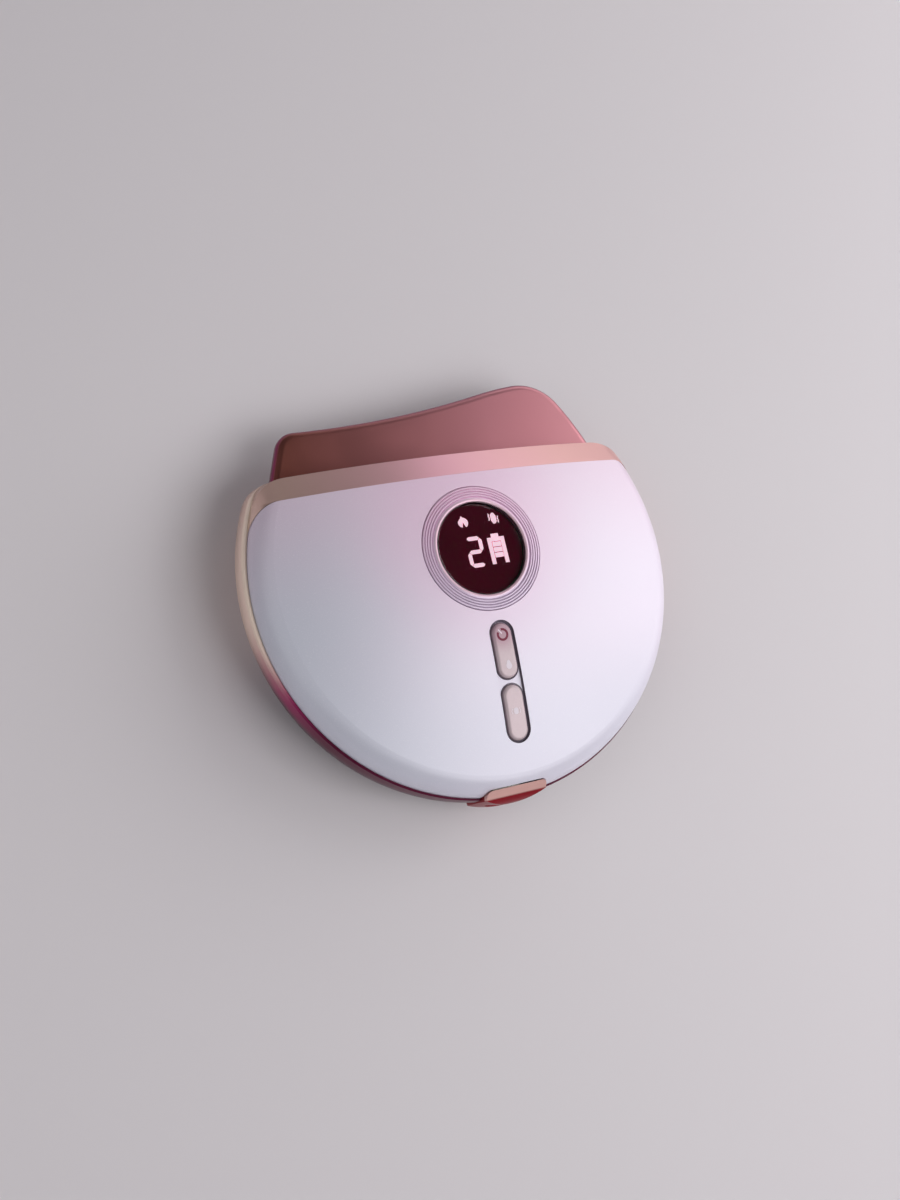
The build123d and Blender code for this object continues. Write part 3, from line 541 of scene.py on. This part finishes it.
def on_display(local):
    """Points from the crown's tangent plane under the display's centre to the gua sha's frame."""
    tilt = math.atan2(display_y - cover_centre_y, crown_radius)
    origin = np.array([0, display_y, crown(0, display_y)])
    axes = np.array([
        [1, 0, 0], [0, math.cos(tilt), -math.sin(tilt)], [0, math.sin(tilt), math.cos(tilt)],
    ])
    return origin + local @ axes


def turned(radii, heights, steps):
    """A profile turned about the display's axis: (r cos a, r sin a, z) on the tangent plane."""
    angle = np.linspace(0, 2 * np.pi, steps, endpoint=False)
    return on_display(np.stack([
        np.outer(radii, np.cos(angle)), np.outer(radii, np.sin(angle)),
        np.outer(heights, np.ones(steps)),
    ], axis=-1))


lens_top, lens_bottom, lens_radius, lens_chamfer = -0.1, -1.92, 9.34, 0.1
lens_flange_top, lens_flange_radius = -0.8, 9.8
lens_steps, lens_rings = 160, [0, 3, 6]

# Cast acrylic: clear and glossy.
tree, shader = new_finish("cast_acrylic")
wire(tree, shader, {
    "Base Color": linear("#FFF2F6"), "Roughness": 0.02, "IOR": 1.49, "Transmission Weight": 1.0,
    "Specular IOR Level": 0.25,
})
lens_radii = lens_rings + [
    lens_radius - lens_chamfer, lens_radius, lens_radius, lens_flange_radius, lens_flange_radius,
    6, 0,
]
lens_heights = (
    [lens_top] * 4 + [lens_top - lens_chamfer, lens_flange_top, lens_flange_top]
    + [lens_bottom] * 3
)
lens = skin("lens", turned(lens_radii, lens_heights, lens_steps), "cast_acrylic", "housing")
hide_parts("display_window")


# Display mask and light shapes
# A printed polycarbonate sheet on the light guide, close under the lens. The lit shapes are the
# windows left in its print: a digit, a battery, a flame and a vibration mark.
mask_top, mask_bottom, mask_radius = -2.0, -2.48, 9.15
shape_foot, shape_rise = 0.005, 0.03

# Maroon print: matt and very dark, so that the lit shapes stand out.
mottled(
    "maroon_printed_pc_sheet", 6, "#4C001C", "#58001F",
    {"Roughness": 0.7, "Specular IOR Level": 0.0},
)
mask = skin(
    "display_mask",
    turned([0, 5, mask_radius, mask_radius, 5, 0], [mask_top] * 3 + [mask_bottom] * 3, 96),
    "maroon_printed_pc_sheet", "housing",
)


def box_outline(left, right, low, high):
    """The four corners of a rectangle."""
    return np.array([(left, low), (right, low), (right, high), (left, high)])


def bar_outline(x, y, length, width, upright=False):
    """A bar of the digit: a flat hexagon, pointed at both ends at 45 degrees."""
    long, half = length / 2, width / 2
    outline = np.array([
        (-long, 0), (half - long, -half), (long - half, -half),
        (long, 0), (long - half, half), (half - long, half),
    ])
    return (outline[:, ::-1] * (1, -1) if upright else outline) + (x, y)


digit_x, digit_y, digit_across, digit_up, digit_bar, digit_gap = -1.05, -0.47, 2.83, 2.72, 0.8, 0.1
cell_left, cell_right, cell_low, cell_high, cell_frame = 1.96, 5.72, -3.45, 1.95, 0.86
cap_left, cap_right, cap_high = 2.95, 4.6, 2.68
charge_left, charge_right, charge_high, charge_bar, charge_pitch = 2.92, 4.78, 1.0, 0.97, 1.1
flame_x, flame_y = -2.3, 5.75
buzz_x, buzz_y = 4.45, 5.78

# The digit 2: three level bars, then one upright bar at the lower left and one at the upper right.
outlines = [
    bar_outline(digit_x, digit_y + level * digit_up, digit_across - digit_gap, digit_bar)
    for level in (-1, 0, 1)
]
outlines += [
    bar_outline(
        digit_x + side * digit_across / 2, digit_y + side * digit_up / 2,
        digit_up - digit_gap, digit_bar, True,
    ) for side in (-1, 1)
]

# The battery: a frame that is open below, its cap, and three charge bars.
outlines += [
    box_outline(cell_left, cell_right, cell_high - cell_frame, cell_high),
    box_outline(cap_left, cap_right, cell_high, cap_high),
    box_outline(cell_left, cell_left + cell_frame, cell_low, cell_high - cell_frame),
    box_outline(cell_right - cell_frame, cell_right, cell_low, cell_high - cell_frame),
]
outlines += [
    box_outline(charge_left, charge_right, top - charge_bar, top)
    for top in (charge_high - charge_pitch * row for row in range(3))
]

# The flame, then the vibration mark: a block between two jagged waves.
outlines.append(np.array([
    (0.0, 0.05), (-0.32, -1.03), (-0.78, -0.78), (-1.08, -0.2), (-1.05, 0.22), (-0.72, 0.6),
    (-0.42, 0.85), (-0.22, 1.32), (0.12, 1.0), (0.6, 0.78), (0.95, 0.42), (1.1, 0.0),
    (1.02, -0.5), (0.72, -0.92), (0.42, -0.98),
]) + (flame_x, flame_y))
outlines.append(np.array([
    (-0.6, -0.45), (-0.2, -1.15), (0.25, -1.1), (0.6, -0.7),
    (0.6, 0.45), (0.2, 1.15), (-0.25, 1.1), (-0.6, 0.7),
]) + (buzz_x, buzz_y))
zigzag = np.array([
    (0.75, -0.75), (0.98, -1.15), (1.1, -0.5), (0.98, -0.15),
    (1.15, 0.35), (0.95, 0.45), (0.72, -0.1), (0.88, -0.45),
])
outlines += [zigzag + (buzz_x, buzz_y), -zigzag + (buzz_x, buzz_y)]


def raised(outlines, low, high):
    """Points and faces of flat shapes with upright sides: each outline low and high, and a wall.

    An outline turns to the left where the sum of x y' - y x' over its sides is positive.
    """
    points, faces, first = [], [], 0
    for outline in outlines:
        count = len(outline)
        ring = np.arange(count)
        after = (ring + 1) % count
        x, y = outline.T
        if (x * y[after] - y * x[after]).sum() < 0:
            outline = outline[::-1]
        points += [np.column_stack([outline, np.full(count, level)]) for level in (low, high)]
        faces += [(first + ring[::-1]).tolist(), (first + count + ring).tolist()]
        faces += (first + np.column_stack([ring, after, after + count, ring + count])).tolist()
        first += 2 * count
    return np.concatenate(points), faces


# Diffuser film, lit from behind: an even pink-white glow.
tree, shader = new_finish("lit_diffuser_film")
spot = add_node(tree, "ShaderNodeTexCoord", output="Object")
spread = add_node(tree, "ShaderNodeTexNoise", {"Vector": spot, "Scale": 1000 / 1.5})
glow = add_node(
    tree, "ShaderNodeMix", {0: spread, 6: linear("#FFDAEC"), 7: linear("#FFE8F6")},
    output=2, data_type="RGBA",
)
wire(tree, shader, {
    "Base Color": linear("#F2D8E0"), "Emission Color": glow, "Emission Strength": 0.66,
    "Roughness": 0.6, "Specular IOR Level": 0.0,
})
shape_points, shape_faces = raised(outlines, mask_top + shape_foot, mask_top + shape_rise)
shapes = piece_from(
    "light_shapes", on_display(shape_points), shape_faces, "lit_diffuser_film", "housing"
)
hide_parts("display_segments")


# Display ring
# A moulded ring in satin metallic paint, set in the cover's bore. A rounded lip stands round the
# lens, and four fine grooves, cut as on a lathe, follow the dome outside it.
ring_radius, barrel_radius, bore_radius, window_radius = 12.48, 10.88, 9.94, 9.42
ring_proud, lip_under, flange_under, barrel_foot = 0.1, 0.75, 1.19, 3.18
lip_middle, lip_half, lip_fall, lip_foot, lip_edge = 9.86, 0.44, 0.22, 0.12, 0.08
groove_radii, groove_halves = (10.44, 10.98, 11.50, 12.02), (0.18, 0.13, 0.13, 0.13)
groove_depth = 0.34
lip_to_land, land_to_edge, edge_round = 0.01, 0.12, 0.1


def land(radius):
    """Height of the ring's top, which follows the dome: proud - r^2 / (2 crown radius)."""
    return ring_proud - radius**2 / (2 * crown_radius)


# The lip is a parabola across its width. Its outer side ends a little below the land.
lip_radius = np.linspace(lip_middle - lip_half, lip_middle + lip_half, 13)
lip_height = land(lip_radius) - lip_fall * ((lip_radius - lip_middle) / lip_half) ** 2
outer_side = lip_radius > lip_middle
lip_height[outer_side] = np.maximum(lip_height[outer_side], land(lip_radius[outer_side]) - lip_foot)

# Each groove dips by depth * cos^2 over its own width.
land_radius = np.linspace(lip_middle + lip_half + lip_to_land, ring_radius - land_to_edge, 120)
dip = np.sum([
    np.cos(np.clip((land_radius - middle) / half, -1, 1) * np.pi / 2) ** 2
    for middle, half in zip(groove_radii, groove_halves)
], axis=0)
land_height = land(land_radius) - groove_depth * dip

# The rounded outer edge, then the sides down to the barrel's foot and up its bore.
brim = np.linspace(0, np.pi / 2, 5)
brim_radius = ring_radius - edge_round + edge_round * np.sin(brim)
brim_height = land(ring_radius) - edge_round + edge_round * np.cos(brim)
ring_radii = np.concatenate([
    [bore_radius, window_radius, window_radius], lip_radius, land_radius, brim_radius,
    [ring_radius, barrel_radius, barrel_radius, bore_radius, bore_radius],
])
ring_heights = np.concatenate([
    [-lip_under, -lip_under, lip_height[0] - lip_edge], lip_height, land_height, brim_height,
    [-flange_under, -flange_under, -barrel_foot, -barrel_foot, -lip_under],
])

# Satin metallic paint: a soft lilac metal, pinker on the strip's side, with a pink lip and a dark
# bore that shows through the lens's rim.
tree, shader = new_finish("satin_metallic_painted_abs")
spot = add_node(tree, "ShaderNodeTexCoord", output="Object")
along = add_node(tree, "ShaderNodeSeparateXYZ", {"Vector": spot}, output="Y")
centred = add_node(
    tree, "ShaderNodeVectorMath", {0: spot, 1: (0, display_y / 1000, 0)}, operation="SUBTRACT"
)
flat = add_node(tree, "ShaderNodeVectorMath", {0: centred, 1: (1, 1, 0)}, operation="MULTIPLY")
radius = add_node(tree, "ShaderNodeVectorMath", {0: flat}, output="Value", operation="LENGTH")
haze = add_node(tree, "ShaderNodeTexNoise", {"Vector": spot, "Scale": 1000 / 0.6})
paint = add_node(
    tree, "ShaderNodeMix", {0: haze, 6: linear("#D4C2D6"), 7: linear("#DECDE1")},
    output=2, data_type="RGBA",
)
for reach, start, end, most, easing, hex_colour in (
    (along, -8, 14, 0.8, "LINEAR", "#FAD2EA"),
    (radius, 10.2, 9.7, 1.0, "SMOOTHSTEP", "#EBC6D6"),
    (radius, 9.44, 9.425, 1.0, "LINEAR", "#2A0012"),
):
    share = add_node(
        tree, "ShaderNodeMapRange",
        {"Value": reach, "From Min": start / 1000, "From Max": end / 1000, "To Max": most},
        interpolation_type=easing,
    )
    paint = add_node(
        tree, "ShaderNodeMix", {0: share, 6: paint, 7: linear(hex_colour)},
        output=2, data_type="RGBA",
    )
wire(tree, shader, {"Base Color": paint, "Metallic": 0.4, "Roughness": 0.4})
ring = skin(
    "display_ring", turned(ring_radii, ring_heights, 224), "satin_metallic_painted_abs", "housing"
)
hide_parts("display_bezel")


# Slot lining and pill beads, in painted shade
# A dark sheet of painted shade under both pills: it lines the slot's wall and swells to a small
# bead round each pill, and shows as a dark line where the gaps fall in shade.
slot_top, slot_length, slot_width = -12.4, 24.0, 5.4
pill_length, pill_width, pill_margin, pill_space = 10.85, 4.3, 0.55, 1.2
slot_centre = slot_top - slot_length / 2
upper_pill = slot_top - pill_margin - pill_length / 2
lower_pill = upper_pill - pill_length - pill_space

# Each profile's places outward from the slot's or pill's outline, and depths below the crown.
lining_offsets = (-0.22, -0.16, -0.07, -0.03, -0.03, -0.005, -0.005, -0.22)
lining_depths = (0.59, 0.56, 0.54, 0.48, 0.10, 0.07, 0.598, 0.598)
bead_offsets = (0.15, 0.15, 0.18, 0.23, 0.28, 0.31, 0.31, 0.15)
bead_depths = (0.59, 0.50, 0.46, 0.44, 0.46, 0.52, 0.59, 0.59)


def pill_loop(centre_y, length, width, outward):
    """Outline of a pill, moved outward: half circles of width/2 at +-(length - width)/2."""
    radius, reach = width / 2 + outward, (length - width) / 2
    turn = np.linspace(0, np.pi, 33)
    run = np.linspace(reach, -reach, 13)[1:-1]
    side, cap = np.full(run.size, radius), reach + radius * np.sin(turn)
    x = np.concatenate([radius * np.cos(turn), -side, -radius * np.cos(turn), side])
    y = np.concatenate([cap, run, -cap, run[::-1]])
    return x, y + centre_y


def bead(centre_y, length, width, offsets, depths):
    """A profile of outward offsets and depths below the crown, carried round a pill's outline."""
    rows = []
    for outward, depth in zip(offsets, depths):
        x, y = pill_loop(centre_y, length, width, outward)
        rows.append(np.column_stack([x, y, crown(x, y) - depth]))
    return np.array(rows)


# Painted shade: a matt dark violet grey, standing for the shade in the slot's gaps.
mottled("dark_slot_shade", 0.8, "#645868", "#726676", {"Roughness": 0.6})
lining = skin(
    "slot_shade_lining", bead(slot_centre, slot_length, slot_width, lining_offsets, lining_depths),
    "dark_slot_shade", "housing",
)
for name, middle in (("upper_pill_shade_bead", upper_pill), ("lower_pill_shade_bead", lower_pill)):
    shade_bead = skin(
        name, bead(middle, pill_length, pill_width, bead_offsets, bead_depths),
        "dark_slot_shade", "housing",
    )


# Pills and their printed marks
# Two moulded keys that slide in the slot, each on the plunger of its switch. The power ring is
# pad-printed in deep magenta, and its bar, the flame and the vibration mark in pale ink.
pill_proud, ink_thickness = 0.15, 0.025

# The red indicator behind the power mark, in metres.
indicator = (0, -0.0150, 0.0236)

# Satin paint on ABS: a warm pink beige with a faint orange peel. Round the power mark it is
# darkened to mauve as a painted reflection of the red indicator.
tree, shader = new_finish("satin_painted_abs")
spot = add_node(tree, "ShaderNodeTexCoord", output="Object")
peel = add_node(tree, "ShaderNodeTexNoise", {"Vector": spot, "Scale": 1000 / 0.5, "Detail": 3.0})
beige = add_node(
    tree, "ShaderNodeMix", {0: peel, 6: linear("#CDB8BE"), 7: linear("#D6C3C8")},
    output=2, data_type="RGBA",
)
orange_peel = add_node(tree, "ShaderNodeBump", {"Height": peel, "Distance": 0.003 / 1000})
from_mark = add_node(
    tree, "ShaderNodeVectorMath", {0: spot, 1: indicator}, output="Value", operation="DISTANCE"
)
indicator_reflection_share = add_node(
    tree, "ShaderNodeMapRange",
    {"Value": from_mark, "From Min": 4.5 / 1000, "From Max": 1 / 1000, "To Max": 0.6},
    interpolation_type="SMOOTHSTEP",
)
beige_and_reflection = add_node(
    tree, "ShaderNodeMix", {0: indicator_reflection_share, 6: beige, 7: linear("#B07C92")},
    output=2, data_type="RGBA",
)
wire(tree, shader, {
    "Base Color": beige_and_reflection, "Metallic": 0.15, "Roughness": 0.4, "Normal": orange_peel,
})
dress("satin_painted_abs", "power_heat_button", "vibration_button")

# Pad-printing ink: a flat, satin film in one colour.
for name, hex_colour in (("pad_printed_magenta", "#7C1238"), ("pad_printed_pale", "#F2E6F0")):
    tree, shader = new_finish(name)
    spot = add_node(tree, "ShaderNodeTexCoord", output="Object")
    screen = add_node(tree, "ShaderNodeTexNoise", {"Vector": spot, "Scale": 1000 / 0.3})
    ink = add_node(tree, "ShaderNodeMapRange", {"Value": screen, "To Min": 0.42, "To Max": 0.55})
    wire(tree, shader, {"Base Color": linear(hex_colour), "Roughness": ink})


def mark_skin(name, x, y, finish, body, wrap):
    """Lays a flat grid of x and y in mm over the pill's crown, an ink's thickness above it."""
    lift = pill_proud + ink_thickness
    mark = skin(name, np.stack([x, y, crown(x, y) + lift], axis=-1), finish, body, wrap)


# The power mark: a ring that is open at the upper left, with a bar through the gap.
power_y, power_radii = upper_pill + 3.05, 1.02 + np.linspace(-0.23, 0.23, 3)
gap_angle, gap_half = math.radians(125), math.radians(24)
arc = np.linspace(gap_angle + gap_half, gap_angle - gap_half + 2 * np.pi, 64)
mark_skin(
    "power_ring",
    np.outer(power_radii, np.cos(arc)), power_y + np.outer(power_radii, np.sin(arc)),
    "pad_printed_magenta", "power_button", False,
)
bar_side, bar_run = np.linspace(0.11, -0.11, 3), np.linspace(0.25, 1.3, 8)
mark_skin(
    "power_bar",
    np.add.outer(-math.sin(gap_angle) * bar_side, math.cos(gap_angle) * bar_run),
    power_y + np.add.outer(math.cos(gap_angle) * bar_side, math.sin(gap_angle) * bar_run),
    "pad_printed_pale", "power_button", False,
)

# The flame: r(a) = 0.62 + 0.55 exp(-(a/0.5)^2), with a the angle from straight up in radians.
flame_mark_x, flame_mark_y = 0.15, upper_pill - 3.1
angle = np.linspace(0, 2 * np.pi, 72, endpoint=False)
from_tip = (angle - np.pi / 2 + np.pi) % (2 * np.pi) - np.pi
flame = 0.62 + 0.55 * np.exp(-((from_tip / 0.5) ** 2))
share = np.linspace(0, 1, 5)
mark_skin(
    "flame_mark",
    flame_mark_x + np.outer(share, flame * np.cos(angle)),
    flame_mark_y + np.outer(share, flame * np.sin(angle)),
    "pad_printed_pale", "power_button", True,
)

# The vibration mark: a rounded block, |x|^3 + |y/1.25|^3 = 0.5^3, between two short waves,
# x = side * (0.88 + 0.08 cos(pi y / 0.5)).
buzz_mark_y = lower_pill + 0.2
squared = 0.5 / (np.abs(np.cos(angle)) ** 3 + np.abs(np.sin(angle) / 1.25) ** 3) ** (1 / 3)
mark_skin(
    "vibration_block",
    np.outer(share, squared * np.cos(angle)),
    buzz_mark_y + np.outer(share, squared * np.sin(angle)),
    "pad_printed_pale", "vibration_key", True,
)
band, rise = np.linspace(-0.07, 0.07, 3), np.linspace(-0.5, 0.5, 17)
for side, name in ((-1, "vibration_wave_left"), (1, "vibration_wave_right")):
    wave = side * (0.88 + 0.08 * np.cos(np.pi * rise / 0.5))
    mark_skin(
        name, np.add.outer(band, wave), buzz_mark_y + np.outer(np.ones(3), rise),
        "pad_printed_pale", "vibration_key", False,
    )


# Charging tab
# The tab round the charging inlet, moulded in ABS, plated and lacquered like the lower shell. It
# fills the gap in the cover, and its mouth holds the inlet's shell.
nose_start, nose_end, foot_start, foot_end = -45.55, -45.95, 15.6, 15.1

# Plating under lacquer: a soft mirror, rose gold on top. The deep red on the nose and its foot,
# where it is also less metallic, is painted reflection and painted shade.
tree, shader = new_finish("plated_abs_with_painted_red_shade")
spot = add_node(tree, "ShaderNodeTexCoord", output="Object")
along, height = (
    add_node(tree, "ShaderNodeSeparateXYZ", {"Vector": spot}, output=axis) for axis in "YZ"
)
face, foot = (
    add_node(
        tree, "ShaderNodeMapRange",
        {"Value": axis, "From Min": start / 1000, "From Max": end / 1000},
        interpolation_type="SMOOTHSTEP",
    ) for axis, start, end in ((along, nose_start, nose_end), (height, foot_start, foot_end))
)
# Painted red reflection and shade on the nose's face and on its foot.
nose = add_node(tree, "ShaderNodeMath", {0: face, 1: foot}, operation="MAXIMUM")
tab_tone = add_node(
    tree, "ShaderNodeMix", {0: nose, 6: linear("#EDBBB2"), 7: linear("#8E0418")},
    output=2, data_type="RGBA",
)
tab_metal = add_node(
    tree, "ShaderNodeMapRange", {"Value": nose, "To Min": 0.6, "To Max": 0.3}
)
flow = add_node(tree, "ShaderNodeTexNoise", {"Vector": spot, "Scale": 1000 / 4})
dull = add_node(
    tree, "ShaderNodeMapRange",
    {"Value": flow, "From Min": noise_low, "From Max": noise_high, "To Min": 0.29, "To Max": 0.35},
)
wire(tree, shader, {
    "Base Color": tab_tone, "Metallic": tab_metal, "Roughness": dull, "Specular IOR Level": 0.2,
})
dress("plated_abs_with_painted_red_shade", "port_trim")
